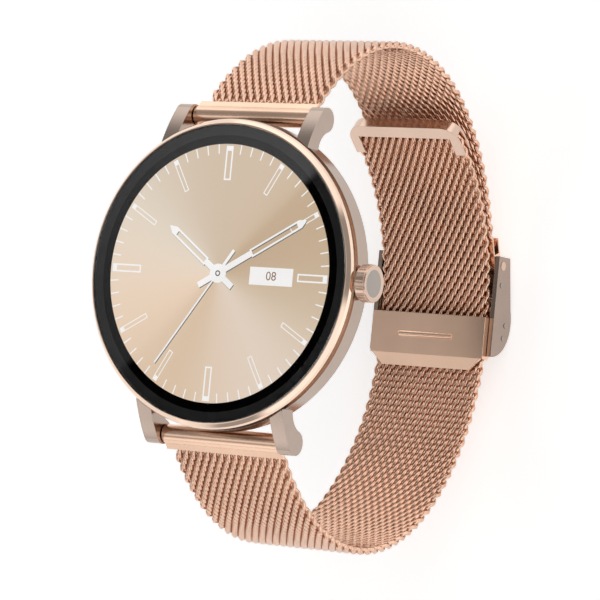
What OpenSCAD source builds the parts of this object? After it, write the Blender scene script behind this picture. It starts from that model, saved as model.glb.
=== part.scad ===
// Round smartwatch on a woven metal mesh strap with a fold-over clasp.
// X runs to the crown (3 o'clock), Y to 12 o'clock and Z up out of the dial.
// The origin is the middle of the flat sensor window on the back of the case.

/* [Case] */
// Outer radius of the case's side band
case_r = 22; // [20.5:0.1:27]
// Height from the sensor window's flat to the top of the glass
case_t = 10.8; // [10.2:0.1:14]
// Radius of the hollow inside the case
cavity_r = 20; // [19.6:0.1:20.2]
// Height of the straight side band
band_h = 2.8; // [2.2:0.1:3.4]
// Radius of the case where it meets the rear cover
case_foot_r = 19.4; // [19:0.1:20]

/* [Glass and bezel] */
// Radius of the cover glass
glass_r = 21; // [19.8:0.1:21.4]
// Thickness of the cover glass
glass_t = 0.6; // [0.5:0.05:0.7]
// Drop of the bezel's slope from the glass to the groove
bezel_slope = 0.9; // [0.6:0.05:1.2]
// Height of the groove between the bezel and the side band
groove_h = 0.9; // [0.5:0.1:1.2]
// Depth of that groove
groove_d = 0.5; // [0.2:0.05:0.7]
// Thickness of the seal under the glass
seal_t = 0.1; // [0.05:0.05:0.15]
// Radius of the display panel
panel_r = 19.2; // [17:0.1:19.3]
// Thickness of the display panel
panel_t = 1.1; // [0.8:0.05:1.2]

/* [Inside] */
// Thickness of the printed boards
board_t = 0.6; // [0.4:0.1:0.7]
// Radius of the main board
board_r = 18.2; // [16.5:0.1:18.4]
// Length of the battery
battery_l = 23; // [16:0.5:24]
// Width of the battery
battery_w = 18; // [12:0.5:19]
// Thickness of the battery
battery_t = 2; // [1.2:0.1:2.1]
// Radius of the coin vibration motor
motor_r = 4; // [2.5:0.1:4.2]
// Thickness of the coin vibration motor
motor_t = 2; // [1.2:0.1:2.1]

/* [Rear] */
// Radius of the sensor window
window_r = 8.5; // [7:0.1:9.5]
// Radius of the raised flat around the sensor window
rear_flat_r = 12.6; // [12:0.1:14]
// Radius of the circle that the rear screws stand on
screw_circle_r = 16.8; // [16.4:0.1:17]
// Radius of a rear screw's thread
screw_r = 0.5; // [0.4:0.05:0.6]

/* [Lugs and spring bars] */
// Gap between the two lugs of a pair
lug_gap = 20; // [18:0.5:22]
// Width of one lug
lug_w = 2.3; // [1.8:0.1:2.8]
// How far the spring bar's centre stands outside the case's radius
bar_out = 0.9; // [0.8:0.05:1.2]
// Depth of the spring bar's centre below the top of the glass
bar_drop = 6.3; // [6:0.05:6.6]
// Outer radius of the spring bar's tube
bar_r = 0.75; // [0.7:0.05:0.9]
// Radius of the spring bar's sliding tips
tip_r = 0.42; // [0.38:0.01:0.5]
// How far a tip reaches into its lug
tip_reach = 0.9; // [0.7:0.05:1]

/* [Crown] */
// Outer radius of the crown
crown_r = 2.65; // [2.2:0.05:3]
// Length of the crown
crown_l = 1.7; // [1.6:0.05:2.4]
// Depth of the crown's centre below the top of the glass
crown_drop = 3; // [2.95:0.05:3.3]
// Gap between the case and the crown, which is more than the press
crown_gap = 0.35; // [0.3:0.05:0.7]
// Number of flutes round the crown
flutes = 18; // [12:1:24]
// Radius of the crown's stem
stem_r = 0.56; // [0.5:0.02:0.62]

/* [Mesh strap] */
// Width of the woven strap
strap_w = 19.2; // [17:0.1:19.4]
// Thickness of the woven strap
strap_t = 1.25; // [1:0.05:1.3]
// Radius of the strap's tight bend at each side of the wrist
side_r = 28.1; // [27:0.1:29.5]
// How far in from the spring bar the middle of that bend lies
side_in = 13.9; // [13.2:0.1:14.5]
// Depth of the middle of that bend below the top of the glass
side_drop = 31.5; // [31:0.1:32]
// Angle above the horizontal where the bend meets the top arc
top_join = 35; // [30:1:40]
// Radius of the shallow arc under the wrist
under_r = 36; // [35.5:0.1:37]
// Angle below the horizontal where the bend meets the shallow arc
under_join = 41; // [39:1:43]
// Angle from straight down where the upper strap leaves the shallow arc
lead_angle = 22; // [21:0.5:24]
// Length of the upper strap's straight end
lead_l = 7.1; // [6.4:0.1:7.4]
// Distance along Y from the cover's pin back to the start of the tail's curve
clasp_reach = 9.17; // [8.7:0.01:9.6]
// Radius of the tail, which lies inside the upper strap
tail_r = 33.7; // [33.3:0.1:34]
// Angle that the tail covers
tail_span = 55; // [48:0.5:55.5]

/* [Clasp] */
// Clearance between the clasp's nested side walls
wall_gap = 0.08; // [0.05:0.01:0.1]
// Thickness of the clasp box's side walls
box_wall = 0.32; // [0.25:0.01:0.4]
// Thickness of the clasp box's plate
plate_t = 0.4; // [0.3:0.05:0.45]
// Thickness of the cover's cheeks
cheek_t = 0.72; // [0.6:0.02:1]
// Thickness of the cover's outer skin
skin_t = 0.6; // [0.4:0.05:0.8]
// Radius of the cover's hinge pin
pin_r = 0.5; // [0.4:0.05:0.55]
// Radius of the lock plate's pin
lock_pin_r = 0.4; // [0.3:0.05:0.45]
// Thickness of the lock plate
lock_t = 0.45; // [0.35:0.05:0.5]

/* [Tail clip] */
// Width of the clip, over its legs
clip_w = 19.2; // [17:0.1:20.5]
// Length of the clip's legs and bar together
clip_l = 5.4; // [4.8:0.1:5.8]
// Width of the clip's bar
clip_bar = 2.1; // [1.6:0.1:2.2]
// Height of the clip's face above the middle of the tail
clip_face = 1; // [0.95:0.05:1.3]
// Depth of the clip, from its face outward
clip_depth = 1.95; // [1.9:0.05:3.2]

/* [Hidden] */
$fn = 96;

fit = 0.03;      // radial clearance of a running pin
slack = 0.05;    // clearance between pieces that are only assembled

// Heights, measured down from the top of the glass
groove_top = bezel_slope + 0.05;
band_top = groove_top + groove_h;
band_foot = band_top + band_h;
glass_foot = glass_t + seal_t;
case_foot = 8.4 + case_t - 10.8;
ledge_t = 1;
rear_flat = case_t - 0.3;
frame_top = glass_foot + panel_t + slack;
frame_floor = 0.5;
board_top = 4.4;
board_foot = board_top + board_t;
sensor_board_top = 7.4;
sensor_board_r = 7;

// Crown
crown_press = 0.25;
crown_in = case_r + crown_gap;
crown_end = crown_in + crown_l;
tube_out = crown_in - 0.05;
tube_r = 1;
hollow_end = crown_in + 0.8;
neck_end = crown_in + 1;
neck_r = 0.4;
clip_x = cavity_r - 0.75;
switch_x = clip_x - 2.5;

// Spring bars
bar_y = case_r + bar_out;
lug_in = lug_gap / 2;
tube_half = lug_in - 0.7;
tip_in = 5.2;
end_tube_r = 1.4;
lug_end_r = 1.75;
lug_top_angle = 52;
lug_hollow_r = 3.05;
lug_hollow_drop = 1.4;

// Strap path, as [y, z] with z from the top of the glass
side_c = [bar_y - side_in, -side_drop];
top_dir = [cos(top_join), sin(top_join)];
bar_d = [bar_y, -bar_drop] - side_c;
bar_off = bar_d - side_r * top_dir;
top_r = bar_off * bar_off / (2 * (side_r - bar_d * top_dir));
top_c = side_c - (top_r - side_r) * top_dir;
under_c = side_c - (under_r - side_r) * [cos(under_join), -sin(under_join)];
bar_angle = atan2(-bar_drop - top_c[1], bar_y - top_c[0]);
mesh_start = bar_angle - 2.7;
under_z = under_c[1] - under_r;
lead_start = under_c + under_r * [sin(lead_angle), -cos(lead_angle)];
lead_dir = [-cos(lead_angle), -sin(lead_angle)];
lead_pin = lead_l + 1.95;
pin_at = lead_start + lead_pin * lead_dir;
tail_c = [pin_at[0] - clasp_reach, under_z + tail_r];
flat_l = tail_c[0] + under_c[0];
clip_angle = tail_span - 6.3;
clip_at = tail_c + tail_r * [sin(clip_angle), -cos(clip_angle)];

// Clasp
strap_half = strap_w / 2;
box_in = strap_half + wall_gap;
box_out = box_in + box_wall;
cheek_in = box_out + wall_gap;
cheek_out = cheek_in + cheek_t;
fitting_half = box_out - 0.1;
sheet_t = 0.3;
fitting_half_t = strap_t / 2 + sheet_t;
knuckle_r = fitting_half_t + 0.03;
plate_z = under_z + strap_t / 2 + 1.35;
plate_y = tail_c[0] + 1;
lock_at = [plate_y + 2.6, under_z - strap_t / 2 - 0.72];
lock_knuckle_r = lock_pin_r + 0.3;
cover_turn_y = plate_y - 0.56;
cover_turn_z = under_z + 0.5;
cover_turn_r = 5.4;
cover_tip_y = pin_at[0] + 1.4;
cover_top_z = under_z + 0.6;
cover_mouth_z = pin_at[1] - 2.05;
skin_end_z = under_z - strap_t / 2 - 0.55;

// Draws its children with z = 0 at the top of the glass
module at_glass() {
    translate([0, 0, case_t]) children();
}

// Extrudes a [y, z] outline along X, centred
module along_x(length) {
    rotate([90, 0, 90]) linear_extrude(height = length, center = true) children();
}

// A rod along X from x0 to x1
module rod_x(r, x0, x1) {
    translate([x0, 0, 0]) rotate([0, 90, 0]) cylinder(r = r, h = x1 - x0);
}

// A bore through both lugs or cheeks at [y, z]
module cross_bore(r, half, at) {
    translate([0, at[0], at[1]]) rod_x(r, -half, half);
}

module ring(r_out, r_in, top, foot) {
    translate([0, 0, -foot]) difference() {
        cylinder(r = r_out, h = foot - top);
        translate([0, 0, -1]) cylinder(r = r_in, h = foot - top + 2);
    }
}

module disc(r, top, foot) {
    translate([0, 0, -foot]) cylinder(r = r, h = foot - top);
}

module slab(x0, x1, y0, y1, top, foot) {
    translate([x0, y0, -foot]) cube([x1 - x0, y1 - y0, foot - top]);
}

// Part of an annulus between two angles, at most 180 degrees apart
module arc_band(c, r, t, a0, a1) {
    far = r + t;
    mid = (a0 + a1) / 2;
    translate(c) intersection() {
        difference() {
            circle(r = r + t / 2, $fn = 180);
            circle(r = r - t / 2, $fn = 180);
        }
        polygon([[0, 0],
            2 * far * [cos(a0), sin(a0)],
            2 * far * [cos(mid), sin(mid)],
            2 * far * [cos(a1), sin(a1)]]);
    }
}

// A rectangle from a point along a direction
module run(from, dir, s0, s1, half_t) {
    side = [-dir[1], dir[0]];
    polygon([from + s0 * dir + half_t * side, from + s1 * dir + half_t * side,
        from + s1 * dir - half_t * side, from + s0 * dir - half_t * side]);
}

// The stretch that both halves of the strap share, on the 12 o'clock side
module strap_side() {
    lap = 0.05;
    along_x(strap_w) arc_band(top_c, top_r, strap_t, top_join - lap, mesh_start);
    along_x(strap_w)
        arc_band(side_c, side_r, strap_t, -under_join - lap, top_join + lap);
}

// Case

// Points of a smooth bend from a to c that starts and ends towards b
function bend(a, b, c, steps) = [for (i = [0:steps]) let (t = i / steps)
    (1 - t) * (1 - t) * a + 2 * t * (1 - t) * b + t * t * c];

// A lug from the side: a bent top, a round end, and a hollow that meets the end smoothly
module lug_outline() {
    root = case_r - 3.6;
    end_at = [bar_y - 0.2, -bar_drop + 0.6];
    end_dir = [cos(lug_top_angle), sin(lug_top_angle)];
    top_at = end_at + lug_end_r * end_dir;
    span = lug_end_r + lug_hollow_r;
    hollow_at = end_at - [sqrt(span * span - lug_hollow_drop * lug_hollow_drop), lug_hollow_drop];
    difference() {
        union() {
            translate(end_at) circle(r = lug_end_r);
            polygon(concat([[root - 1.6, -band_foot], [root - 1.6, -band_top]],
                bend([root, -band_top + 0.6], top_at + 2.8 * [-end_dir[1], end_dir[0]], top_at, 16),
                [end_at, hollow_at]));
        }
        translate(hollow_at) circle(r = lug_hollow_r);
    }
}

module lugs() {
    for (side = [-1, 1], end = [0, 1])
        mirror([0, end, 0])
            translate([side * (lug_in + lug_w / 2), 0, 0]) along_x(lug_w) lug_outline();
}

module mid_case() {
    color("rosybrown") at_glass() difference() {
        union() {
            rotate_extrude($fn = 180) polygon([[cavity_r, -band_top],
                [case_r, -band_top], [case_r, -band_foot], [case_r - 1.2, -band_foot - 1.4],
                [case_r - 1.9, -case_foot + 0.8], [case_foot_r, -case_foot],
                [screw_circle_r - 1, -case_foot], [screw_circle_r - 1, -case_foot + ledge_t],
                [cavity_r, -case_foot + ledge_t]]);
            difference() {
                lugs();
                disc(cavity_r + 0.5, 0, case_t);
                disc(case_r - slack, -1, band_top);
            }
        }
        for (end = [-1, 1])
            cross_bore(tip_r + fit, lug_in + tip_reach + 0.3, [end * bar_y, -bar_drop]);
        translate([0, 0, -crown_drop]) rod_x(tube_r, cavity_r - 2, case_r + 1);
        screw_places() translate([0, 0, -case_foot - 1]) cylinder(r = screw_r, h = 4);
    }
}

module bezel_ring() {
    color("peachpuff") at_glass() rotate_extrude($fn = 180) polygon([
        [glass_r + slack, -0.08], [glass_r + 0.22, -0.1], [case_r - 0.3, -bezel_slope * 0.6],
        [case_r - 0.1, -bezel_slope], [case_r - 0.1, -groove_top],
        [case_r - groove_d, -groove_top], [case_r - groove_d, -band_top],
        [panel_r + 0.1, -band_top], [panel_r + 0.1, -glass_foot],
        [glass_r + slack, -glass_foot]]);
}

module cover_glass() {
    color("black") at_glass() rotate_extrude($fn = 180) polygon([[0, 0],
        [glass_r - 0.3, 0], [glass_r, -0.15], [glass_r, -glass_t], [0, -glass_t]]);
}

module glass_seal() {
    color("dimgray") at_glass() ring(glass_r - 0.1, panel_r + 0.3, glass_t, glass_foot);
}

module display_panel() {
    color("wheat") at_glass() disc(panel_r, glass_foot, glass_foot + panel_t);
}

module display_flex() {
    color("orange") at_glass() {
        slab(-4, 4, -cavity_r + 1.8, -cavity_r + 5, frame_top - slack, frame_top + 0.15);
        slab(-4, 4, -cavity_r + 1.8, -cavity_r + 1.95, frame_top, board_top);
        slab(-4, 4, -cavity_r + 1.8, -cavity_r + 4, board_top - 0.15, board_top);
    }
}

module inner_frame() {
    color("darkslategray") at_glass() difference() {
        union() {
            ring(cavity_r - 0.1, board_r + 0.3, frame_top, case_foot - ledge_t - slack);
            disc(cavity_r - 0.1, frame_top, frame_top + frame_floor);
        }
        slab(-5, 5, -cavity_r + 1, -cavity_r + 6, frame_top - 1, board_foot + 1);
        slab(switch_x - 3, cavity_r + 1, -4, 4, frame_top - 1, case_t);
        translate([0, 0, -case_t]) screw_places() cylinder(r = screw_r + 0.4, h = 6);
    }
}

module main_board() {
    color("darkgreen") at_glass() disc(board_r, board_top, board_foot);
}

module board_shields() {
    color("silver") at_glass() {
        slab(-12, -1, 3, 13, board_top - 1.15, board_top);
        slab(1, 11, 5, 13, board_top - 1.15, board_top);
        slab(-13, -5, -8, 0, board_top - 1, board_top);
    }
}

module battery() {
    edge = 2;
    color("lightsteelblue") at_glass() translate([0, -3.5, 0]) union() {
        slab(-battery_l / 2 + edge, battery_l / 2 - edge, -battery_w / 2, battery_w / 2,
            board_foot + slack, board_foot + slack + battery_t);
        slab(-battery_l / 2, battery_l / 2, -battery_w / 2 + edge, battery_w / 2 - edge,
            board_foot + slack, board_foot + slack + battery_t);
        for (x = [-1, 1], y = [-1, 1])
            translate([x * (battery_l / 2 - edge), y * (battery_w / 2 - edge), 0])
                disc(edge, board_foot + slack, board_foot + slack + battery_t);
    }
}

module vibration_motor() {
    color("gainsboro") at_glass() translate([0, board_r - motor_r - 3.5, 0])
        disc(motor_r, board_foot, board_foot + motor_t);
}

module sensor_board() {
    color("seagreen") at_glass()
        disc(sensor_board_r, sensor_board_top, sensor_board_top + board_t);
}

module sensor_leds() {
    led_top = sensor_board_top + board_t;
    color("lime") at_glass() {
        for (y = [-1, 1])
            slab(-0.8, 0.8, y * 3.6 - 0.8, y * 3.6 + 0.8, led_top, led_top + 0.5);
        for (x = [-1, 1])
            slab(x * 3.4 - 1.2, x * 3.4 + 1.2, -1.2, 1.2, led_top, led_top + 0.5);
    }
}

// Rear

module screw_places() {
    for (a = [45:90:315])
        rotate(a) translate([screw_circle_r, 0, 0]) children();
}

module sensor_window() {
    color("darkslateblue") at_glass() rotate_extrude() polygon([[0, -case_foot - 0.3],
        [window_r, -case_foot - 0.3], [window_r, -case_t + 0.35],
        [window_r - 0.4, -case_t], [0, -case_t]]);
}

module rear_cover() {
    head_top = case_foot + 0.55;
    color("tan") at_glass() difference() {
        rotate_extrude($fn = 180) polygon([[window_r + slack, -case_foot],
            [case_foot_r, -case_foot], [case_foot_r - 0.3, -case_foot - 0.6],
            [screw_circle_r + 1, -case_foot - 1.2], [rear_flat_r + 1, -rear_flat + 0.25],
            [rear_flat_r, -rear_flat], [window_r + slack, -rear_flat]]);
        ring(screw_circle_r + 1.7, screw_circle_r + 1.1, case_foot - 1, case_foot + 0.3);
        screw_places() translate([0, 0, -case_t]) {
            cylinder(r = screw_r + slack, h = case_t);
            cylinder(r = 2 * screw_r, h = case_t - head_top);
        }
        charge_places() translate([0, 0, -case_t]) cylinder(r = 0.8, h = case_t);
    }
}

module rear_seal() {
    color("dimgray") at_glass()
        ring(screw_circle_r + 1.65, screw_circle_r + 1.15, case_foot, case_foot + 0.28);
}

module rear_screws() {
    head_top = case_foot + 0.55;
    color("silver") at_glass() screw_places() difference() {
        union() {
            disc(2 * screw_r - slack, head_top + fit, head_top + 0.55);
            disc(screw_r, case_foot - ledge_t + 0.1, head_top + 0.1);
        }
        translate([0, 0, -head_top - 1.3])
            for (a = [0:60:120]) rotate(a) cube([1.1, 0.22, 2], center = true);
    }
}

module charge_places() {
    for (x = [-1, 1]) translate([x * 1.6, -(window_r + rear_flat_r) / 2, 0]) children();
}

module charge_pins() {
    color("gold") at_glass() charge_places() disc(0.8 - fit, case_foot, rear_flat + 0.05);
}

// Crown

module at_crown() {
    at_glass() translate([0, 0, -crown_drop]) children();
}

module crown_tube() {
    color("gray") at_crown() difference() {
        rod_x(tube_r, cavity_r - 0.1, tube_out);
        rod_x(stem_r + 2 * fit, cavity_r - 2, case_r + 3);
    }
}

module crown_switch() {
    color("slategray") at_glass() {
        slab(switch_x - 2, switch_x - 0.4, -1.7, 1.7, frame_top + 0.1, board_top);
        translate([0, 0, -crown_drop]) rod_x(0.6, switch_x - 0.4, switch_x);
    }
}

module crown_spring() {
    coil_in = tube_out + 0.08;
    wire = 0.1;
    color("lightgray") at_crown() for (i = [0:2])
        translate([coil_in + wire + i * 0.25, 0, 0]) rotate([0, 90, 0])
            rotate_extrude($fn = 48) translate([1, 0]) circle(r = wire, $fn = 16);
}

module crown_stem() {
    color("lightgray") at_crown() difference() {
        union() {
            rod_x(stem_r, switch_x + crown_press + 0.05, hollow_end - slack);
            rod_x(neck_r, crown_in, neck_end - slack);
        }
        seal_groove(stem_r + 1);
        clip_groove(stem_r + 1);
    }
}

module stem_ring(r_out, r_in, x0, x1) {
    difference() {
        rod_x(r_out, x0, x1);
        rod_x(r_in, x0 - 1, x1 + 1);
    }
}

module seal_groove(r_out) {
    stem_ring(r_out, neck_r, cavity_r + 0.9, cavity_r + 1.4);
}

module clip_groove(r_out) {
    stem_ring(r_out, neck_r, clip_x, clip_x + 0.3);
}

module crown_seal() {
    color("dimgray") at_crown()
        stem_ring(stem_r + fit, neck_r, cavity_r + 0.95, cavity_r + 1.35);
}

module crown_clip() {
    color("silver") at_crown() difference() {
        stem_ring(0.95, neck_r, clip_x + 0.03, clip_x + 0.27);
        translate([clip_x - 1, -0.3, 0]) cube([3, 0.6, 3]);
    }
}

module crown_knob() {
    dish_r = 6.8;
    color("rosybrown") at_crown() difference() {
        union() {
            rod_x(crown_r - 0.15, crown_in, crown_in + 0.2);
            rod_x(crown_r, crown_in + 0.2, crown_end - 0.25);
            rod_x(crown_r - 0.1, crown_end - 0.25, crown_end);
        }
        rod_x(1.35, crown_in - 1, hollow_end);
        rod_x(neck_r + fit, crown_in, neck_end);
        for (i = [0:flutes - 1])
            rotate([i * 360 / flutes, 0, 0]) translate([0, 0, crown_r + 0.08])
                rod_x(0.2, crown_in - 1, crown_end - 0.3);
        translate([crown_end + dish_r - 0.35, 0, 0]) sphere(r = dish_r);
    }
}

// Spring bars

module at_bar(end) {
    at_glass() translate([0, end * bar_y, -bar_drop]) children();
}

module spring_bar(end) {
    solid_half = 1.5;
    color("silver") at_bar(end) difference() {
        rod_x(bar_r, -tube_half, tube_half);
        for (side = [0, 1]) mirror([side, 0, 0])
            rod_x(tip_r + fit, solid_half, lug_in);
    }
}

module spring_bar_upper() {
    spring_bar(1);
}

module spring_bar_lower() {
    spring_bar(-1);
}

module bar_springs(end) {
    wire = 0.08;
    coils = 9;
    color("gray") at_bar(end) for (side = [0, 1]) mirror([side, 0, 0])
        for (i = [0:coils - 1])
            translate([1.7 + i * (tip_in - 1.9) / (coils - 1), 0, 0]) rotate([0, 90, 0])
                rotate_extrude($fn = 32) translate([0.3, 0]) circle(r = wire, $fn = 16);
}

module bar_springs_upper() {
    bar_springs(1);
}

module bar_springs_lower() {
    bar_springs(-1);
}

module tip(end, side) {
    tip_out = lug_in + tip_reach;
    color("silver") at_bar(end) mirror([side < 0 ? 1 : 0, 0, 0]) {
        rod_x(tip_r, tip_in, tip_out - 0.12);
        rod_x(tip_r - 0.1, tip_out - 0.12, tip_out);
    }
}

module tip_upper_left() {
    tip(1, -1);
}

module tip_upper_right() {
    tip(1, 1);
}

module tip_lower_left() {
    tip(-1, -1);
}

module tip_lower_right() {
    tip(-1, 1);
}

// Strap

module end_tube() {
    grip = [cos(mesh_start), sin(mesh_start)];
    root = top_c + top_r * grip;
    along = [grip[1], -grip[0]];
    width = lug_gap - 0.3;
    color("burlywood") at_glass() difference() {
        union() {
            cross_bore(end_tube_r, width / 2, [bar_y, -bar_drop]);
            along_x(width) run(root, along, -1.2, 0.25, strap_t / 2 + sheet_t);
        }
        cross_bore(bar_r + slack, width, [bar_y, -bar_drop]);
        along_x(width + 1)
            arc_band(top_c, top_r, strap_t + 2 * fit, mesh_start - 10, mesh_start + 0.05);
    }
}

module upper_end_tube() {
    end_tube();
}

module lower_end_tube() {
    mirror([0, 1, 0]) end_tube();
}

module upper_mesh() {
    color("rosybrown") at_glass() {
        strap_side();
        along_x(strap_w) arc_band(under_c, under_r, strap_t, lead_angle - 90, -under_join);
        along_x(strap_w) run(lead_start, lead_dir, -0.02, lead_l, strap_t / 2);
    }
}

module upper_end_fitting() {
    color("coral") at_glass() difference() {
        union() {
            along_x(2 * fitting_half)
                run(lead_start, lead_dir, lead_l - 2.3, lead_pin - 0.4, fitting_half_t);
            cross_bore(knuckle_r, fitting_half, pin_at);
        }
        along_x(strap_w + 3)
            run(lead_start, lead_dir, 0, lead_l + fit, strap_t / 2 + fit);
        cross_bore(pin_r + fit, fitting_half + 1, pin_at);
    }
}

module lower_mesh() {
    lap = 0.05;
    color("rosybrown") at_glass() {
        mirror([0, 1, 0]) {
            strap_side();
            along_x(strap_w) arc_band(under_c, under_r, strap_t, -90 - lap, -under_join);
        }
        along_x(strap_w) translate([-under_c[0], under_z - strap_t / 2])
            square([flat_l, strap_t]);
        along_x(strap_w) arc_band(tail_c, tail_r, strap_t, -90 - lap, tail_span - 90);
    }
}

// U-shaped clip across the tail's end, with rounded corners
module tail_clip() {
    corner = 2.6;
    leg_w = 1.6;
    half = clip_w / 2;
    color("burlywood") at_glass() difference() {
        translate([0, clip_at[0], clip_at[1]]) rotate([clip_angle + 0.8, 0, 0])
            translate([0, 0, clip_face - clip_depth]) difference() {
                union() {
                    translate([-half + corner, 0, 0])
                        cube([clip_w - 2 * corner, clip_l, clip_depth]);
                    translate([-half, 0, 0]) cube([clip_w, clip_l - corner, clip_depth]);
                    for (x = [-1, 1])
                        translate([x * (half - corner), clip_l - corner, 0])
                            cylinder(r = corner, h = clip_depth);
                }
                translate([-half + leg_w, -1, -1])
                    cube([clip_w - 2 * leg_w, clip_l - clip_bar + 1, clip_depth + 2]);
            }
        along_x(clip_w + strap_w)
            arc_band(tail_c, tail_r, strap_t + 2 * fit, -90, tail_span - 90 + 0.1);
    }
}

// Clasp

module box_side() {
    polygon([[plate_y, plate_z], [plate_y - 6.4, plate_z - 0.2],
        [plate_y - 6.6, under_z], [plate_y - 2.6, lock_at[1] - 0.25],
        [lock_at[0] + 0.8, lock_at[1] - 0.65], [lock_at[0] + 0.8, lock_at[1] + 0.75],
        [plate_y, under_z - 0.3]]);
}

module clasp_box() {
    ridge_r = 0.5;
    chamfer = 2.2;
    plate_end = plate_y - 8.3;
    color("tan") at_glass() difference() {
        union() {
            intersection() {
                along_x(2 * box_out) polygon([[plate_y, plate_z],
                    [plate_y - 6.4, plate_z - 0.2], [plate_end, plate_z - 0.45],
                    [plate_end, plate_z - 0.45 - plate_t],
                    [plate_y - 6.4, plate_z - 0.2 - plate_t], [plate_y, plate_z - plate_t]]);
                translate([0, 0, plate_z - 3]) linear_extrude(height = 6) polygon([
                    [-box_out, plate_y + 1], [box_out, plate_y + 1],
                    [box_out, plate_end + chamfer], [box_out - chamfer, plate_end],
                    [-box_out + chamfer, plate_end], [-box_out, plate_end + chamfer]]);
            }
            for (x = [-1, 1]) {
                translate([x * (box_in + box_wall / 2), 0, 0]) along_x(box_wall) box_side();
                slab(x * (box_in - 0.3) - 0.3, x * (box_in - 0.3) + 0.3,
                    plate_y - 6, plate_y - 0.4, -plate_z + plate_t / 2,
                    -under_z - strap_t / 2 - 0.2);
            }
            translate([0, plate_y - 3.3, plate_z - 0.35]) {
                rod_x(ridge_r, -4.9, 4.4);
                translate([-4.9, 0, 0]) sphere(r = ridge_r, $fn = 48);
            }
        }
        cross_bore(lock_pin_r, box_out + 1, lock_at);
    }
}

module lock_pin() {
    color("silver") at_glass() cross_bore(lock_pin_r, box_out - 0.02, lock_at);
}

module lock_plate() {
    color("darkkhaki") at_glass() difference() {
        along_x(2 * strap_half - 0.4) difference() {
            union() {
                translate(lock_at) circle(r = lock_knuckle_r, $fn = 48);
                translate([plate_y - 4, lock_at[1] + 0.55 - lock_t])
                    square([lock_at[0] - plate_y + 4, lock_t]);
            }
            translate(lock_at) circle(r = lock_pin_r + fit, $fn = 48);
        }
        for (x = [-6:4:6])
            translate([x - 0.8, plate_y - 3.2, lock_at[1] - 1]) cube([1.6, 3, 2]);
    }
}

// Outline of the cover, drawn back by a wall
module cover_outline(wall) {
    foot = cover_turn_z - cover_turn_r + wall;
    intersection() {
        union() {
            translate([cover_turn_y, cover_turn_z])
                circle(r = cover_turn_r - wall, $fn = 96);
            polygon([[cover_turn_y, cover_turn_z + 2], [cover_tip_y, cover_turn_z + 2],
                [cover_tip_y, cover_mouth_z + wall], [cover_turn_y, foot]]);
        }
        translate([-20, -90]) square([40, 90 + cover_top_z]);
    }
}

module clasp_cover() {
    skin_y = pin_at[0] - 0.5;
    color("rosybrown") at_glass() difference() {
        union() {
            for (x = [-1, 1])
                translate([x * (cheek_in + cheek_t / 2), 0, 0]) along_x(cheek_t)
                    cover_outline(0);
            along_x(2 * cheek_in + 0.2) difference() {
                intersection() {
                    cover_outline(0);
                    translate([-20, -90]) square([20 + skin_y, 90 + skin_end_z]);
                }
                cover_outline(skin_t);
            }
        }
        cross_bore(pin_r, cheek_out + 1, pin_at);
        rivet_places() rod_x(0.4, cheek_in - 1, cheek_out + 1);
    }
}

module cover_pin() {
    color("silver") at_glass() {
        cross_bore(pin_r, cheek_out + 0.05, pin_at);
        for (side = [0, 1]) mirror([side, 0, 0]) translate([0, pin_at[0], pin_at[1]])
            rod_x(0.7, cheek_out, cheek_out + 0.08);
    }
}

// Places of the three short rivets on each cheek, beside the hinge pin
module rivet_places() {
    for (side = [0, 1]) mirror([side, 0, 0])
        for (at = [[pin_at[0] - 3, pin_at[1]], [cover_turn_y - 0.3, cover_turn_z - 3.6],
                   [cover_turn_y - 2.3, cover_turn_z - 3.2]])
            translate([0, at[0], at[1]]) children();
}

module cover_rivets() {
    color("silver") at_glass() rivet_places()
        rod_x(0.4, cheek_in + 0.02, cheek_out + 0.08);
}

mid_case();
bezel_ring();
cover_glass();
glass_seal();
display_panel();
display_flex();
inner_frame();
main_board();
board_shields();
battery();
vibration_motor();
sensor_board();
sensor_leds();
sensor_window();
rear_cover();
rear_seal();
rear_screws();
charge_pins();
crown_tube();
crown_switch();
crown_spring();
crown_stem();
crown_seal();
crown_clip();
crown_knob();
spring_bar_upper();
spring_bar_lower();
bar_springs_upper();
bar_springs_lower();
tip_upper_left();
tip_upper_right();
tip_lower_left();
tip_lower_right();
upper_end_tube();
upper_mesh();
upper_end_fitting();
lower_end_tube();
lower_mesh();
tail_clip();
clasp_box();
lock_pin();
lock_plate();
clasp_cover();
cover_pin();
cover_rivets();
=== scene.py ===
import math

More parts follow.
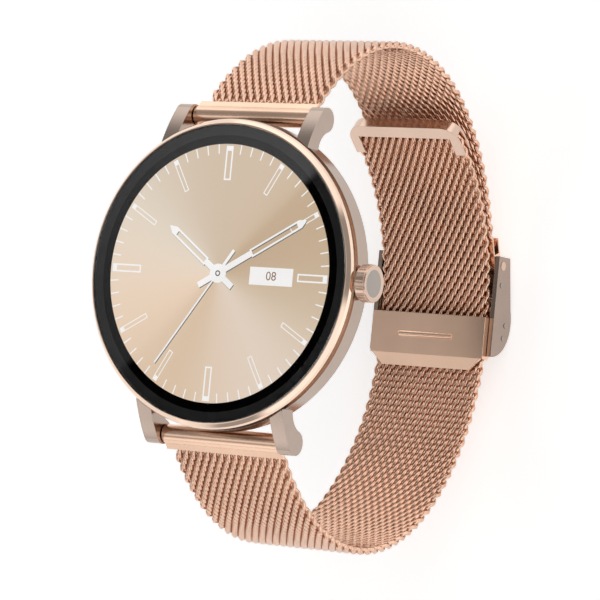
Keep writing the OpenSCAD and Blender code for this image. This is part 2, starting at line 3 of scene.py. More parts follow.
import bpy
import numpy as np
from mathutils import Matrix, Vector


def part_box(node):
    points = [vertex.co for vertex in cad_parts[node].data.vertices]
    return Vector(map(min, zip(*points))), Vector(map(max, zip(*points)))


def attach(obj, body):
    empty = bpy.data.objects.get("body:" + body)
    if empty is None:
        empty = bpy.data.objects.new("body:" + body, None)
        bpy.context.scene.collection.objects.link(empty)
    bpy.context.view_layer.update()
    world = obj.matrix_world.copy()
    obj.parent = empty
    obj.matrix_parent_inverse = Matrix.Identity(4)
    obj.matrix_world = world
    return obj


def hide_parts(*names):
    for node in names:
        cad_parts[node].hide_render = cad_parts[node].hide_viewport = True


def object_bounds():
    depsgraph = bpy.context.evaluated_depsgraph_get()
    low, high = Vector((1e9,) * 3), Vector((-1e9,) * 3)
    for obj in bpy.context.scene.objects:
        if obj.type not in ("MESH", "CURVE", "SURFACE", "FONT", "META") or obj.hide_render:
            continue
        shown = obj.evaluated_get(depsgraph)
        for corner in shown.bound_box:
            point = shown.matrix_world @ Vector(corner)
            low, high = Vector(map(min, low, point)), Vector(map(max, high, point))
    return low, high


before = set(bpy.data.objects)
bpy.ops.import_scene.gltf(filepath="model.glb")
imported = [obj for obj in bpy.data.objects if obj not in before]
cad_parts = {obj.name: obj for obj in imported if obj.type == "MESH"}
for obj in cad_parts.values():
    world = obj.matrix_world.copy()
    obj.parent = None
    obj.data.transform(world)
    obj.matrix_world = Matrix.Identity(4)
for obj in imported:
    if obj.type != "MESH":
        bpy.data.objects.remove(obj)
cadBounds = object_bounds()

# A round smartwatch on a woven strap. X runs to the crown, Y to 12 o'clock and Z up out of the dial.
glassLow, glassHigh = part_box("cover_glass")
glassTop = glassHigh.z
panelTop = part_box("display_panel")[1].z
mm = 0.001


# Modelling helpers

def deselectAll():
    if bpy.context.object and bpy.context.object.mode != "OBJECT":
        bpy.ops.object.mode_set(mode="OBJECT")
    bpy.ops.object.select_all(action="DESELECT")


def pick(piece):
    deselectAll()
    piece.select_set(True)
    bpy.context.view_layer.objects.active = piece


def settle(piece):
    # puts the place and turn of a piece into its mesh
    pick(piece)
    bpy.ops.object.transform_apply(location=True, rotation=True, scale=True)


def joined(name, pieces):
    pick(pieces[0])
    for piece in pieces[1:]:
        piece.select_set(True)
    if len(pieces) > 1:
        bpy.ops.object.join()
    whole = bpy.context.view_layer.objects.active
    whole.name = name
    whole.data.name = name
    return whole


def finish(piece, body, material):
    piece.data.materials.clear()
    piece.data.materials.append(material)
    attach(piece, body)


def flatBar(width, low, high, foot, thick, angle=0.0):
    # a bar on the dial that points at 12, from low to high, turned clockwise
    deselectAll()
    bpy.ops.mesh.primitive_cube_add(size=1, location=(0, (low + high) / 2, foot + thick / 2))
    bar = bpy.context.object
    bar.scale = (width, high - low, thick)
    settle(bar)
    bar.matrix_world = Matrix.Rotation(-angle, 4, "Z")
    settle(bar)
    return bar


def outlinedBar(width, low, high, line, foot, thick):
    # a bar like flatBar, with only its outline left
    deselectAll()
    bpy.ops.mesh.primitive_plane_add(size=1, location=(0, (low + high) / 2, foot))
    bar = bpy.context.object
    bar.scale = (width, high - low, 1)
    settle(bar)
    bpy.ops.object.mode_set(mode="EDIT")
    bpy.ops.mesh.select_all(action="SELECT")
    bpy.ops.mesh.inset(thickness=line)
    bpy.ops.mesh.delete(type="FACE")
    bpy.ops.mesh.select_all(action="SELECT")
    bpy.ops.mesh.extrude_region_move(TRANSFORM_OT_translate={"value": (0, 0, thick)})
    bpy.ops.mesh.select_all(action="SELECT")
    bpy.ops.mesh.normals_make_consistent(inside=False)
    bpy.ops.object.mode_set(mode="OBJECT")
    return bar


# Materials

def newMaterial(name):
    material = bpy.data.materials.new(name)
    material.use_nodes = True
    nodes = material.node_tree.nodes
    return material, nodes, material.node_tree.links, nodes["Principled BSDF"]


def addNoise(nodes, links, scale, detail=3.0, stretch=(1, 1, 1)):
    place = nodes.new("ShaderNodeTexCoord")
    mapping = nodes.new("ShaderNodeMapping")
    mapping.inputs["Scale"].default_value = stretch
    noise = nodes.new("ShaderNodeTexNoise")
    noise.inputs["Scale"].default_value = scale
    noise.inputs["Detail"].default_value = detail
    links.new(place.outputs["Object"], mapping.inputs["Vector"])
    links.new(mapping.outputs["Vector"], noise.inputs["Vector"])
    return noise


def spread(nodes, links, source, low, high):
    # maps a 0 to 1 value on to low to high
    ranged = nodes.new("ShaderNodeMapRange")
    ranged.inputs["To Min"].default_value = low
    ranged.inputs["To Max"].default_value = high
    links.new(source, ranged.inputs["Value"])
    return ranged.outputs["Result"]


def tinted(nodes, links, source, colourA, colourB):
    ramp = nodes.new("ShaderNodeValToRGB")
    ramp.color_ramp.elements[0].position = 0.35
    ramp.color_ramp.elements[0].color = (*colourA, 1)
    ramp.color_ramp.elements[1].position = 0.65
    ramp.color_ramp.elements[1].color = (*colourB, 1)
    links.new(source, ramp.inputs["Fac"])
    return ramp.outputs["Color"]


def platedSteel(name, colour, rough, grain=(1, 1, 1), bump=0.02, edge=0.0001, grainScale=2500.0):
    # plated metal with a fine grain, a little colour drift and softened edges
    material, nodes, links, shader = newMaterial(name)
    shader.inputs["Metallic"].default_value = 1.0
    fine = addNoise(nodes, links, grainScale, 2.0, grain)
    broad = addNoise(nodes, links, 90.0, 2.0)
    paler = tuple(min(1.0, c * 1.05) for c in colour)
    deeper = tuple(c * 0.95 for c in colour)
    links.new(tinted(nodes, links, broad.outputs["Fac"], deeper, paler), shader.inputs["Base Color"])
    links.new(spread(nodes, links, fine.outputs["Fac"], rough * 0.8, rough * 1.2),
              shader.inputs["Roughness"])
    relief = nodes.new("ShaderNodeBump")
    relief.inputs["Strength"].default_value = bump
    relief.inputs["Distance"].default_value = 0.00002
    links.new(fine.outputs["Fac"], relief.inputs["Height"])
    if edge:
        soft = nodes.new("ShaderNodeBevel")
        soft.samples = 4
        soft.inputs["Radius"].default_value = edge
        links.new(soft.outputs["Normal"], relief.inputs["Normal"])
    links.new(relief.outputs["Normal"], shader.inputs["Normal"])
    return material


def moulded(name, colour, rough, bump=0.1, scale=3000.0):
    # plastic, rubber or resin with a fine moulded texture
    material, nodes, links, shader = newMaterial(name)
    grain = addNoise(nodes, links, scale)
    deeper = tuple(c * 0.85 for c in colour)
    links.new(tinted(nodes, links, grain.outputs["Fac"], deeper, colour), shader.inputs["Base Color"])
    links.new(spread(nodes, links, grain.outputs["Fac"], rough * 0.85, rough * 1.15),
              shader.inputs["Roughness"])
    relief = nodes.new("ShaderNodeBump")
    relief.inputs["Strength"].default_value = bump
    relief.inputs["Distance"].default_value = 0.00003
    links.new(grain.outputs["Fac"], relief.inputs["Height"])
    links.new(relief.outputs["Normal"], shader.inputs["Normal"])
    return material


def litPrint(name, colour, glow):
    # a flat printed or lit layer of the display
    material, nodes, links, shader = newMaterial(name)
    tone = addNoise(nodes, links, 400.0)
    deeper = tuple(c * 0.97 for c in colour)
    colourOut = tinted(nodes, links, tone.outputs["Fac"], deeper, colour)
    shader.inputs["Base Color"].default_value = (0.002, 0.002, 0.002, 1)
    shader.inputs["Roughness"].default_value = 0.6
    shader.inputs["Specular IOR Level"].default_value = 0.0
    links.new(colourOut, shader.inputs["Emission Color"])
    shader.inputs["Emission Strength"].default_value = glow
    return material


def linear(r, g, b):
    # screen colour, 0 to 255, to linear light
    return tuple(((c / 255 + 0.055) / 1.055) ** 2.4 if c > 10 else c / 255 / 12.92 for c in (r, g, b))


sunburst = {
    # clock angle in degrees: colour of the dial there
    "tones": {0: (209, 189, 166), 30: (210, 188, 164), 45: (201, 177, 148), 75: (200, 175, 147),
              105: (212, 191, 166), 130: (228, 211, 193), 150: (232, 214, 198), 180: (226, 204, 182),
              195: (222, 197, 170), 212: (222, 197, 171), 240: (235, 209, 184), 262: (237, 214, 191),
              300: (229, 217, 201), 330: (212, 193, 171)},
    "glow": 1.0,
}


def sunburstMaterial():
    # tones that turn about the dial's centre like light on brushed metal
    material, nodes, links, shader = newMaterial("dialSunburst")
    place = nodes.new("ShaderNodeTexCoord")
    split = nodes.new("ShaderNodeSeparateXYZ")
    links.new(place.outputs["Object"], split.inputs["Vector"])
    turn = nodes.new("ShaderNodeMath")
    turn.operation = "ARCTAN2"
    links.new(split.outputs["X"], turn.inputs[0])
    links.new(split.outputs["Y"], turn.inputs[1])
    share = nodes.new("ShaderNodeMath")
    share.operation = "DIVIDE"
    share.inputs[1].default_value = 2 * math.pi
    links.new(turn.outputs["Value"], share.inputs[0])
    wrapped = nodes.new("ShaderNodeMath")
    wrapped.operation = "WRAP"
    wrapped.inputs[1].default_value = 1.0
    wrapped.inputs[2].default_value = 0.0
    links.new(share.outputs["Value"], wrapped.inputs[0])
    ramp = nodes.new("ShaderNodeValToRGB")
    ramp.color_ramp.interpolation = "B_SPLINE"
    stops = ramp.color_ramp.elements
    tones = sunburst["tones"]
    stops[0].position = 0.0
    stops[0].color = (*linear(*tones[0]), 1)
    stops[1].position = 1.0
    stops[1].color = (*linear(*tones[0]), 1)
    for angle in list(tones)[1:]:
        stop = stops.new(angle / 360)
        stop.color = (*linear(*tones[angle]), 1)
    links.new(wrapped.outputs["Value"], ramp.inputs["Fac"])
    links.new(ramp.outputs["Color"], shader.inputs["Emission Color"])
    shader.inputs["Emission Strength"].default_value = sunburst["glow"]
    shader.inputs["Base Color"].default_value = (0.02, 0.02, 0.02, 1)
    shader.inputs["Roughness"].default_value = 0.6
    shader.inputs["Specular IOR Level"].default_value = 0.0
    return material


def clearGlass():
    material, nodes, links, shader = newMaterial("clearGlass")
    shader.inputs["Base Color"].default_value = (1, 1, 1, 1)
    shader.inputs["Transmission Weight"].default_value = 1.0
    shader.inputs["IOR"].default_value = 1.45
    smear = addNoise(nodes, links, 120.0)
    links.new(spread(nodes, links, smear.outputs["Fac"], 0.0, 0.002), shader.inputs["Roughness"])
    return material


print("materials")
# painted shade: the case's plating is darker than the same plating on the bezel, so its sides show a dimmer
# reflection of the bright floor
shadedCaseSteel = platedSteel("shadedCaseSteel", (0.44, 0.345, 0.29), 0.16, edge=0.00012)
# painted highlight: the bezel's plating is paler than the same plating on the case, so its slope shows a
# brighter reflection
litBezelSteel = platedSteel("litBezelSteel", (0.84, 0.63, 0.50), 0.10, bump=0.01, edge=0.00008)
brightSteel = platedSteel("brightSteel", (0.66, 0.48, 0.38), 0.16, bump=0.01, edge=0.0001)
claspSteel = platedSteel("claspSteel", (0.86, 0.585, 0.43), 0.22, grain=(1, 4, 4), bump=0.012)
coverSteel = platedSteel("coverSteel", (0.38, 0.29, 0.24), 0.24, grain=(1, 4, 4), bump=0.012)
wireSteel = platedSteel("wireSteel", (0.75, 0.475, 0.345), 0.15, bump=0.02, edge=0)
# grey steel for the cover rivets, and for the painted dark reflection in the crown's dish
greySteelAndPaintedReflection = platedSteel("greySteelAndPaintedReflection", (0.36, 0.32, 0.29), 0.15, edge=0)
plainSteel = platedSteel("plainSteel", (0.55, 0.55, 0.56), 0.25, edge=0)
goldContact = platedSteel("goldContact", (0.85, 0.62, 0.28), 0.2, edge=0)
foil = platedSteel("batteryFoil", (0.7, 0.71, 0.74), 0.4, bump=0.2, edge=0, grainScale=700.0)
sealRubber = moulded("sealRubber", (0.02, 0.02, 0.02), 0.8)
innerPlastic = moulded("innerPlastic", (0.04, 0.04, 0.045), 0.5)
rearPlastic = moulded("rearPlastic", (0.03, 0.028, 0.028), 0.42)
boardMask = moulded("boardMask", (0.02, 0.12, 0.06), 0.35, scale=900.0)
ledResin = moulded("ledResin", (0.5, 0.8, 0.5), 0.2)
sensorGlass = moulded("sensorGlass", (0.008, 0.008, 0.01), 0.06, bump=0.0)
borderInk = litPrint("borderInk", (0.0004, 0.0004, 0.0004), 1.0)
dialWhite = litPrint("dialWhite", linear(250, 249, 247), 1.0)
dialInk = litPrint("dialInk", linear(150, 120, 100), 1.0)
dialShade = litPrint("dialShade", linear(120, 118, 116), 1.0)
dialGlow = sunburstMaterial()
glassClear = clearGlass()

cadFinish = {
    "mid_case": shadedCaseSteel, "bezel_ring": litBezelSteel, "cover_glass": glassClear, "glass_seal": sealRubber,
    "display_panel": dialGlow, "display_flex": innerPlastic, "inner_frame": innerPlastic,
    "main_board": boardMask, "board_shields": plainSteel, "battery": foil,
    "vibration_motor": plainSteel, "sensor_board": boardMask, "sensor_leds": ledResin,
    "sensor_window": sensorGlass, "rear_cover": rearPlastic, "rear_seal": sealRubber,
    "rear_screws": plainSteel, "charge_pins": goldContact, "crown_tube": plainSteel,
    "crown_switch": innerPlastic, "crown_spring": plainSteel, "crown_stem": plainSteel,
    "crown_seal": sealRubber, "crown_clip": plainSteel, "crown_knob": brightSteel,
    "spring_bar_upper": plainSteel, "spring_bar_lower": plainSteel, "bar_springs_upper": plainSteel,
    "bar_springs_lower": plainSteel, "tip_upper_left": plainSteel, "tip_upper_right": plainSteel,
    "tip_lower_left": plainSteel, "tip_lower_right": plainSteel, "upper_end_tube": claspSteel,
    "upper_end_fitting": claspSteel, "lower_end_tube": claspSteel, "tail_clip": brightSteel,
    "clasp_box": claspSteel, "lock_pin": brightSteel, "lock_plate": claspSteel,
    "clasp_cover": coverSteel, "cover_pin": brightSteel, "cover_rivets": greySteelAndPaintedReflection,
}
for nodeName, material in cadFinish.items():
    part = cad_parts[nodeName]
    part.data.materials.clear()
    part.data.materials.append(material)
    pick(part)
    bpy.ops.object.shade_smooth_by_angle(angle=math.radians(22))


# Woven strap

weave = {
    "halfWidth": 9.6 * mm,
    "thickness": 1.24 * mm,
    "wireRadius": 0.34 * mm,
    "turns": 15,             # of each wire across the strap
    "rowPitch": 1.0 * mm,
    "reach": 0.95,           # half height of a turn, in row pitches
    "loop": 0.22 * mm,        # how far the edge loops stand out
    "stepsPerTurn": 8,
    "sides": 6,
}
route = {
    "bar": (22.9, -6.3),     # [y, z] of the spring bar, z from the glass top, in mm
    "sideIn": 13.9,
    "sideDrop": 31.5,
    "sideRadius": 28.1,
    "topJoin": 35,
    "underRadius": 36,
    "underJoin": 41,
    "leadAngle": 22,
    "leadLength": 7.1,
    "pinStep": 1.95,         # from the end of the mesh to the cover's pin
    "claspReach": 9.17,      # from the cover's pin back to the start of the tail's curve
    "tailRadius": 33.7,
    "tailSpan": 55,
    "startStep": 2.7,        # angle from the bar to the start of the mesh
}


def unit(degrees):
    return np.array([math.cos(math.radians(degrees)), math.sin(math.radians(degrees))])


def strapRoute():
    # the two halves as lists of arcs and lines, in mm
    bar = np.array(route["bar"])
    sideC = np.array([bar[0] - route["sideIn"], -route["sideDrop"]])
    topDir = unit(route["topJoin"])
    offset = bar - sideC - route["sideRadius"] * topDir
    topR = offset @ offset / (2 * (route["sideRadius"] - (bar - sideC) @ topDir))
    topC = sideC - (topR - route["sideRadius"]) * topDir
    barAngle = math.degrees(math.atan2(bar[1] - topC[1], bar[0] - topC[0]))
    start = barAngle - route["startStep"]
    underR = route["underRadius"]
    underC = sideC - (underR - route["sideRadius"]) * unit(-route["underJoin"])
    lead = route["leadAngle"] - 90
    leadStart = underC + underR * unit(lead)
    shared = [("arc", topC, topR, start, route["topJoin"]),
              ("arc", sideC, route["sideRadius"], route["topJoin"], -route["underJoin"])]
    upper = shared + [("arc", underC, underR, -route["underJoin"], lead),
                      ("line", leadStart, -unit(route["leadAngle"]), route["leadLength"])]
    flip = np.array([-1, 1])
    lower = [("arc", c * flip, r, 180 - a0, 180 - a1) for kind, c, r, a0, a1 in
             shared + [("arc", underC, underR, -route["underJoin"], -90)]]
    bottom = underC[1] - underR
    pinY = leadStart[0] - (route["leadLength"] + route["pinStep"]) * unit(route["leadAngle"])[0]
    tailC = np.array([pinY - route["claspReach"], bottom + route["tailRadius"]])
    lower += [("line", np.array([-underC[0], bottom]), np.array([1.0, 0.0]), tailC[0] + underC[0]),
              ("arc", tailC, route["tailRadius"], -90, route["tailSpan"] - 90)]
    return upper, lower


def routeLength(stretches):
    total = 0
    for stretch in stretches:
        total += stretch[3] if stretch[0] == "line" else abs(
            math.radians(stretch[4] - stretch[3])) * stretch[2]
    return total * mm


def onRoute(stretches, along, lift):
    # the [y, z] points at the distances along the route, lifted outwards, in metres
    left = along / mm
    result = np.zeros((len(along), 2))
    last = len(stretches) - 1
    start = 0.0
    for index, stretch in enumerate(stretches):
        if stretch[0] == "line":
            length = stretch[3]
        else:
            length = abs(math.radians(stretch[4] - stretch[3])) * stretch[2]
        inside = left < start + length if index < last else left < 1e9
        inside &= left >= start if index else left > -1e9
        here = left[inside] - start
        high = lift[inside] / mm
        if stretch[0] == "line":
            away = np.array([stretch[2][1], -stretch[2][0]])
            if away[1] > 0:
                away = -away
            result[inside] = stretch[1] + here[:, None] * stretch[2] + high[:, None] * away
        else:
            sign = 1 if stretch[4] > stretch[3] else -1
            angle = np.radians(stretch[3]) + sign * here / stretch[2]
            radial = np.stack([np.cos(angle), np.sin(angle)], axis=1)
            result[inside] = stretch[1] + (stretch[2] + high)[:, None] * radial
        start += length
    return result * mm + np.array([0, glassTop])


def wirePath(rows, first):
    # one wire that runs to and fro across the strap, row after row: x, along, lift
    edge = weave["halfWidth"] - weave["wireRadius"] - weave["loop"]
    reach = weave["reach"] * weave["rowPitch"]
    high = weave["thickness"] / 2 - weave["wireRadius"]
    steps = weave["turns"] * weave["stepsPerTurn"]
    share = np.linspace(0, 1, steps + 1)
    parts = []
    for row in range(rows):
        phase = 2 * math.pi * (share * weave["turns"] + (0.25 if row % 2 == 0 else 0.75))
        x = edge * (2 * share - 1)
        along = first + row * weave["rowPitch"] - reach * np.cos(phase)
        lift = -high * np.sin(phase)
        if row % 2:
            x, along, lift = x[::-1], along[::-1], lift[::-1]
        parts.append(np.stack([x, along, lift], axis=1))
        if row < rows - 1:  # the loop into the next row
            side = 1 if row % 2 == 0 else -1
            turn = np.linspace(0, math.pi, 7)[1:-1]
            swing = first + (row + 0.5) * weave["rowPitch"] - 0.5 * weave["rowPitch"] * np.cos(turn)
            fall = lift[-1] * np.cos(turn)
            parts.append(np.stack([side * (edge + weave["loop"] * np.sin(turn)), swing, fall], axis=1))
    return np.concatenate(parts)


def wireMesh(name, stretches, rows, first):
    path = wirePath(rows, first)
    yz = onRoute(stretches, path[:, 1], path[:, 2])
    curve = bpy.data.curves.new(name, "CURVE")
    curve.dimensions = "3D"
    curve.bevel_depth = weave["wireRadius"]
    curve.bevel_resolution = (weave["sides"] - 4) // 2
    curve.use_fill_caps = True
    spline = curve.splines.new("POLY")
    spline.points.add(len(path) - 1)
    flat = np.ones((len(path), 4))
    flat[:, 0] = path[:, 0]
    flat[:, 1:3] = yz
    spline.points.foreach_set("co", flat.ravel())
    wire = bpy.data.objects.new(name, curve)
    bpy.context.collection.objects.link(wire)
    pick(wire)
    bpy.ops.object.convert(target="MESH")
    wire = bpy.context.object
    bpy.ops.object.shade_smooth()
    return wire


print("cover glass")
glassDisc = {"gap": 0.01 * mm, "softEdge": 0.06 * mm, "sides": 192}
deselectAll()
bpy.ops.mesh.primitive_cylinder_add(vertices=glassDisc["sides"], radius=glassHigh.x - glassDisc["gap"],
                                    depth=glassTop - glassLow.z,
                                    location=(0, 0, (glassTop + glassLow.z) / 2))
clearDisc = bpy.context.object
clearDisc.name = "clearDisc"
settle(clearDisc)
softEdge = clearDisc.modifiers.new("softEdge", "BEVEL")
softEdge.width = glassDisc["softEdge"]
softEdge.segments = 2
bpy.ops.object.modifier_apply(modifier="softEdge")
bpy.ops.object.shade_smooth_by_angle(angle=math.radians(15))
finish(clearDisc, "case", glassClear)
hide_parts("cover_glass")

print("crown inlay")
# a grey disc just inside the rim of the crown's end, a painted reflection that stands in for the dark
# surroundings mirrored in the polished dish
dishReflection = {"share": 0.41, "thick": 0.04 * mm, "sunk": 0.09 * mm, "sides": 96}
knobLow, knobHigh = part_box("crown_knob")
deselectAll()
bpy.ops.mesh.primitive_cylinder_add(vertices=dishReflection["sides"], radius=(knobHigh.y - knobLow.y) * dishReflection["share"],
                                    depth=dishReflection["thick"],
                                    location=(knobHigh.x - dishReflection["sunk"], (knobHigh.y + knobLow.y) / 2,
                                              (knobHigh.z + knobLow.z) / 2), rotation=(0, math.pi / 2, 0))
crownPaintedReflection = bpy.context.object
crownPaintedReflection.name = "crownPaintedReflection"
settle(crownPaintedReflection)
finish(crownPaintedReflection, "crown", greySteelAndPaintedReflection)

print("woven strap")
upperRoute, lowerRoute = strapRoute()
margin = weave["rowPitch"] * weave["reach"] + weave["wireRadius"]
for name, stretches, body, node in [("upperWeave", upperRoute, "upper_strap", "upper_mesh"),
                                    ("lowerWeave", lowerRoute, "lower_strap", "lower_mesh")]:
    length = routeLength(stretches)
    rows = int((length - 2 * margin) / weave["rowPitch"]) + 1
    first = (length - (rows - 1) * weave["rowPitch"]) / 2
    weaveMesh = wireMesh(name, stretches, rows, first)
    finish(weaveMesh, body, wireSteel)
    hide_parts(node)
    print(name, rows, "rows", len(weaveMesh.data.polygons), "faces")


# Watch face

face = {
    "layer": panelTop + 0.01 * mm,    # where the printed layers start
    "step": 0.012 * mm,               # one layer's thickness
    "edge": 18.27 * mm,               # inner radius of the black border
    "tickInner": 16.9 * mm, "tickWidth": 0.17 * mm,
    "quarterWidth": 1.15 * mm, "quarterInner": 13.15 * mm, "quarterLine": 0.22 * mm,
    "hourWidth": 0.75 * mm, "hourInner": 13.1 * mm, "hourLine": 0.13 * mm,
    "markOuter": 18.0 * mm, "markSquare": 0.7 * mm,
}
hands = {
    "hour": {"tip": (-8.78, 6.36), "tail": 3.1, "width": 1.25, "blade": 2.6, "line": 0.3},
    "minute": {"tip": (13.77, 8.01), "tail": 3.6, "width": 1.2, "blade": 6.0, "line": 0.26},
    "second": {"tip": (-9.23, -13.15), "tail": 4.1, "width": 0.24},
    "hub": 1.35, "hubHole": 0.42,
}
dateWindow = {"low": (5.3, -1.3), "high": (12.4, 1.2), "digits": "08", "size": 1.75}


def roundLayer(name, radius, hole, foot, thick):
    # a flat disc or ring on the dial, one layer thick
    deselectAll()
    bpy.ops.mesh.primitive_circle_add(vertices=128, radius=radius, fill_type="NGON",
                                      location=(0, 0, foot))
    layer = bpy.context.object
    settle(layer)
    bpy.ops.object.mode_set(mode="EDIT")
    bpy.ops.mesh.select_all(action="SELECT")
    if hole:
        bpy.ops.mesh.inset(thickness=radius - hole)
        bpy.ops.mesh.delete(type="FACE")
    bpy.ops.mesh.select_all(action="SELECT")
    bpy.ops.mesh.extrude_region_move(TRANSFORM_OT_translate={"value": (0, 0, thick)})
    bpy.ops.mesh.select_all(action="SELECT")
    bpy.ops.mesh.normals_make_consistent(inside=False)
    bpy.ops.object.mode_set(mode="OBJECT")
    layer.name = name
    return layer


def marks():
    # twelve outlined markers with a filled outer square, and the minute ticks between them
    pieces = []
    for hour in range(12):
        kind = "quarter" if hour % 3 == 0 else "hour"
        width, inner, line = face[kind + "Width"], face[kind + "Inner"], face[kind + "Line"]
        frameBar = outlinedBar(width, inner, face["markOuter"], line, face["layer"], face["step"])
        square = flatBar(width - line, face["markOuter"] - face["markSquare"], face["markOuter"],
                         face["layer"] - 0.002 * mm, face["step"])
        marker = joined("marker", [frameBar, square])
        marker.matrix_world = Matrix.Rotation(-hour * math.pi / 6, 4, "Z")
        settle(marker)
        pieces.append(marker)
    for minute in range(60):
        if minute % 5:
            pieces.append(flatBar(face["tickWidth"], face["tickInner"], face["edge"] + 0.1 * mm,
                                  face["layer"], face["step"], minute * math.pi / 30))
    return joined("dialMarks", pieces)


def bladeHand(name, hand, foot):
    # a pointed hand: solid near the hub, with a slot that shows the dial further out
    reach = math.hypot(*hand["tip"]) * mm
    angle = math.atan2(hand["tip"][0], hand["tip"][1])
    width, line, thick = hand["width"] * mm, hand["line"] * mm, face["step"]
    point = 0.95 * width
    stem = flatBar(width * 0.72, -hand["tail"] * mm, hand["blade"] * mm, foot, thick)
    blade = outlinedBar(width, hand["blade"] * mm, reach - point * 1.15, line, foot, thick)
    tip = flatBar(width, reach - point * 1.2, reach - point * 0.9, foot, thick)
    bpy.ops.object.mode_set(mode="EDIT")
    bpy.ops.mesh.select_all(action="DESELECT")
    bpy.ops.object.mode_set(mode="OBJECT")
    far = max(p.center.y for p in tip.data.polygons)
    for polygon in tip.data.polygons:
        polygon.select = polygon.center.y > far - 1e-6
    bpy.ops.object.mode_set(mode="EDIT")
    bpy.ops.mesh.extrude_region_move(TRANSFORM_OT_translate={"value": (0, point * 0.9, 0)})
    bpy.ops.transform.resize(value=(0.12, 1, 1))
    bpy.ops.object.mode_set(mode="OBJECT")
    whole = joined(name, [stem, blade, tip])
    whole.matrix_world = Matrix.Rotation(-angle, 4, "Z")
    settle(whole)
    return whole


def secondHand(foot):
    hand = hands["second"]
    reach = math.hypot(*hand["tip"]) * mm
    angle = math.atan2(hand["tip"][0], hand["tip"][1])
    needle = flatBar(hand["width"] * mm, 0, reach, foot, face["step"])
    counter = flatBar(hand["width"] * 1.9 * mm, -hand["tail"] * mm, 0, foot, face["step"])
    whole = joined("secondHand", [needle, counter])
    whole.matrix_world = Matrix.Rotation(-angle, 4, "Z")
    settle(whole)
    return whole


def shadowOf(piece, name, foot):
    # the thin drawn shadow beside a hand
    twin = piece.copy()
    twin.data = piece.data.copy()
    bpy.context.collection.objects.link(twin)
    twin.location = (0.09 * mm, -0.12 * mm, foot - min(v.co.z for v in piece.data.vertices))
    settle(twin)
    twin.name = name
    return twin


def dateDigits(foot):
    deselectAll()
    bpy.ops.object.text_add(location=(0, 0, 0))
    digits = bpy.context.object
    digits.data.body = dateWindow["digits"]
    digits.data.size = dateWindow["size"] * mm
    digits.data.align_x = "CENTER"
    digits.data.align_y = "CENTER"
    digits.data.extrude = face["step"] / 2
    bpy.ops.object.convert(target="MESH")
    digits = bpy.context.object
    digits.name = "dateDigits"
    low, high = dateWindow["low"], dateWindow["high"]
    digits.location = ((low[0] + high[0]) / 2 * mm, (low[1] + high[1]) / 2 * mm, foot)
    settle(digits)
    return digits


def datePlate(foot):
    low, high = dateWindow["low"], dateWindow["high"]
    plate = flatBar((high[0] - low[0]) * mm, low[1] * mm, high[1] * mm, foot, face["step"])
    plate.location.x = (low[0] + high[0]) / 2 * mm
    settle(plate)
    plate.name = "datePlate"
    return plate


print("watch face")
step = face["step"]
level = face["layer"]
borderInkAt = {"gap": 0.03 * mm, "below": 0.03 * mm, "thick": 0.02 * mm}
border = roundLayer("borderPrint", glassHigh.x - borderInkAt["gap"], face["edge"],
                    glassLow.z - borderInkAt["below"], borderInkAt["thick"])
finish(border, "case", borderInk)
finish(marks(), "case", dialWhite)
finish(datePlate(level), "case", dialWhite)
finish(dateDigits(level + 1.6 * step), "case", dialInk)
hourHand = bladeHand("hourHand", hands["hour"], level + 2 * step)
minuteHand = bladeHand("minuteHand", hands["minute"], level + 3 * step)
second = secondHand(level + 4 * step)
for hand, name in [(hourHand, "hourShade"), (minuteHand, "minuteShade"), (second, "secondShade")]:
    finish(shadowOf(hand, name, level + step * 0.5), "case", dialShade)
for hand in (hourHand, minuteHand, second):
    finish(hand, "case", dialWhite)
hub = roundLayer("handHub", hands["hub"] * mm, 0, level + 3.2 * step, step)
finish(hub, "case", dialWhite)
hubRing = roundLayer("hubRing", hands["hubHole"] * mm, hands["hubHole"] * 0.55 * mm, level + 4.5 * step, step)
finish(hubRing, "case", dialShade)


# Stage, lights and camera

studio = {
    "horizon": 1.15, "zenith": 0.85,     # brightness of the room low down and overhead
    "patchSize": 1.3,                    # of the room's light and dark patches, larger is finer
    "patchDim": 0.35, "patchBright": 1.3, "patchEdge": (0.42, 0.56),
    "dark": 0.0,                         # brightness of the dark flag
    "flagAim": (-0.552, 0.059, 0.832),   # the flag's middle, seen from the watch
    "flagWide": 0.9945, "flagNarrow": 0.9981,   # cosines of its soft edge
    "boxEdge": 0.52,                     # the softbox starts where (Y - X) / 1.414 Z passes this
    "boxDim": 0.2, "boxBright": 0.75,    # its brightness towards 7 and 1 o'clock
}


def mathNode(nodes, links, operation, first, second=None):
    node = nodes.new("ShaderNodeMath")
    node.operation = operation
    for socket, value in zip(node.inputs, (first, second)):
        if value is None:
            continue
        if isinstance(value, (int, float)):
            socket.default_value = value
        else:
            links.new(value, socket)
    return node.outputs["Value"]


def ranged(nodes, links, source, fromLow, fromHigh, toLow, toHigh, smooth=True):
    node = nodes.new("ShaderNodeMapRange")
    node.interpolation_type = "SMOOTHSTEP" if smooth else "LINEAR"
    for key, value in (("From Min", fromLow), ("From Max", fromHigh), ("To Min", toLow), ("To Max", toHigh)):
        node.inputs[key].default_value = value
    links.new(source, node.inputs["Value"])
    return node.outputs["Result"]


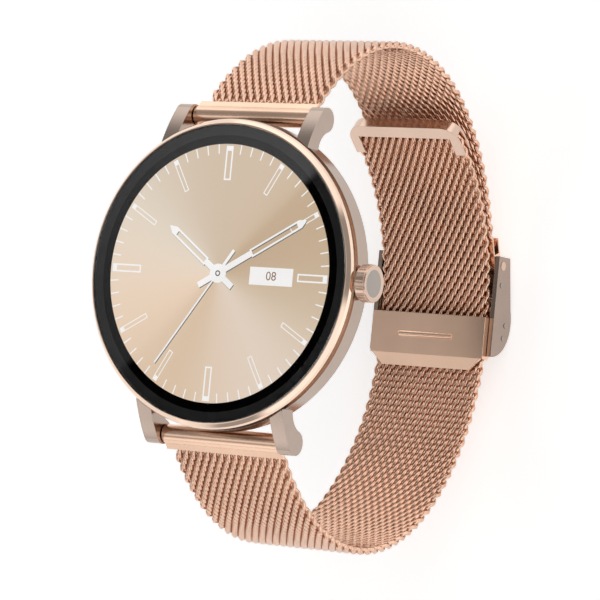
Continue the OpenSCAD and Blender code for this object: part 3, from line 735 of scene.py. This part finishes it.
def studioWorld():
    # a pale room with one dark flag, half filled by a softbox that shows in the cover glass
    world = bpy.data.worlds.new("studio")
    world.use_nodes = True
    nodes, links = world.node_tree.nodes, world.node_tree.links
    place = nodes.new("ShaderNodeTexCoord")
    split = nodes.new("ShaderNodeSeparateXYZ")
    links.new(place.outputs["Generated"], split.inputs["Vector"])
    x, y, z = (split.outputs[axis] for axis in "XYZ")
    upward = mathNode(nodes, links, "MAXIMUM", z, 0.01)
    room = ranged(nodes, links, upward, 0.0, 0.9, studio["horizon"], studio["zenith"])
    patches = nodes.new("ShaderNodeTexNoise")
    patches.inputs["Scale"].default_value = studio["patchSize"]
    patches.inputs["Detail"].default_value = 1.0
    links.new(place.outputs["Generated"], patches.inputs["Vector"])
    low, high = studio["patchEdge"]
    patch = ranged(nodes, links, patches.outputs["Fac"], low, high, studio["patchDim"], studio["patchBright"])
    room = mathNode(nodes, links, "MULTIPLY", room, patch)
    aim = nodes.new("ShaderNodeVectorMath")
    aim.operation = "DOT_PRODUCT"
    links.new(place.outputs["Generated"], aim.inputs[0])
    aim.inputs[1].default_value = studio["flagAim"]
    flag = ranged(nodes, links, aim.outputs["Value"], studio["flagWide"], studio["flagNarrow"], 0, 1)
    across = mathNode(nodes, links, "SUBTRACT", y, x)
    across = mathNode(nodes, links, "DIVIDE", across, upward)
    across = mathNode(nodes, links, "MULTIPLY", across, math.sqrt(0.5))
    along = mathNode(nodes, links, "ADD", y, x)
    along = mathNode(nodes, links, "DIVIDE", along, upward)
    along = mathNode(nodes, links, "MULTIPLY", along, math.sqrt(0.5))
    edge = studio["boxEdge"]
    box = ranged(nodes, links, across, edge - 0.002, edge + 0.002, 0, 1)
    glow = ranged(nodes, links, along, -0.48, -0.36, studio["boxDim"], studio["boxBright"], False)
    box = mathNode(nodes, links, "MULTIPLY", box, glow)
    box = mathNode(nodes, links, "ADD", box, studio["dark"])
    inFlag = mathNode(nodes, links, "MULTIPLY", box, flag)
    rest = mathNode(nodes, links, "SUBTRACT", 1.0, flag)
    rest = mathNode(nodes, links, "MULTIPLY", rest, room)
    total = mathNode(nodes, links, "ADD", rest, inFlag)
    nodes["Background"].inputs["Color"].default_value = (1, 1, 1, 1)
    links.new(total, nodes["Background"].inputs["Strength"])
    return world


print("stage, lights and camera")
stage = {"drop": 0.5 * mm, "size": 6, "tone": (0.9, 0.9, 0.9), "glow": 0.45}
floorHeight = cadBounds[0][2] - stage["drop"]
deselectAll()
bpy.ops.mesh.primitive_plane_add(size=stage["size"], location=(0, 0, floorHeight))
floor = bpy.context.object
floor.name = "floor"
paper, nodes, links, shader = newMaterial("palePaper")
shader.inputs["Roughness"].default_value = 0.9
shader.inputs["Emission Color"].default_value = (1, 1, 1, 1)
shader.inputs["Base Color"].default_value = (*stage["tone"], 1)
shader.inputs["Emission Strength"].default_value = stage["glow"]
floor.data.materials.append(paper)

world = studioWorld()
bpy.context.scene.world = world
bpy.context.scene.view_settings.view_transform = "Standard"

cameraData = bpy.data.cameras.new("camera")
camera = bpy.data.objects.new("camera", cameraData)
bpy.context.collection.objects.link(camera)
view = {
    "lens": 204.83, "place": (0.263996, -0.028392, 0.397477),   # the place is from the glass top
    "right": (0.8455, 0.0966, -0.5251), "up": (-0.0534, 0.9939, 0.0969), "back": (0.5313, -0.0539, 0.8455),
}
cameraData.sensor_width = 36
cameraData.lens = view["lens"]
cameraData.clip_start = 0.01
cameraData.clip_end = 20
turnMatrix = Matrix((view["right"], view["up"], view["back"])).transposed().to_4x4()
awayX, awayY, awayZ = view["place"]
camera.matrix_world = Matrix.Translation((awayX, awayY, awayZ + glassTop)) @ turnMatrix
bpy.context.scene.camera = camera
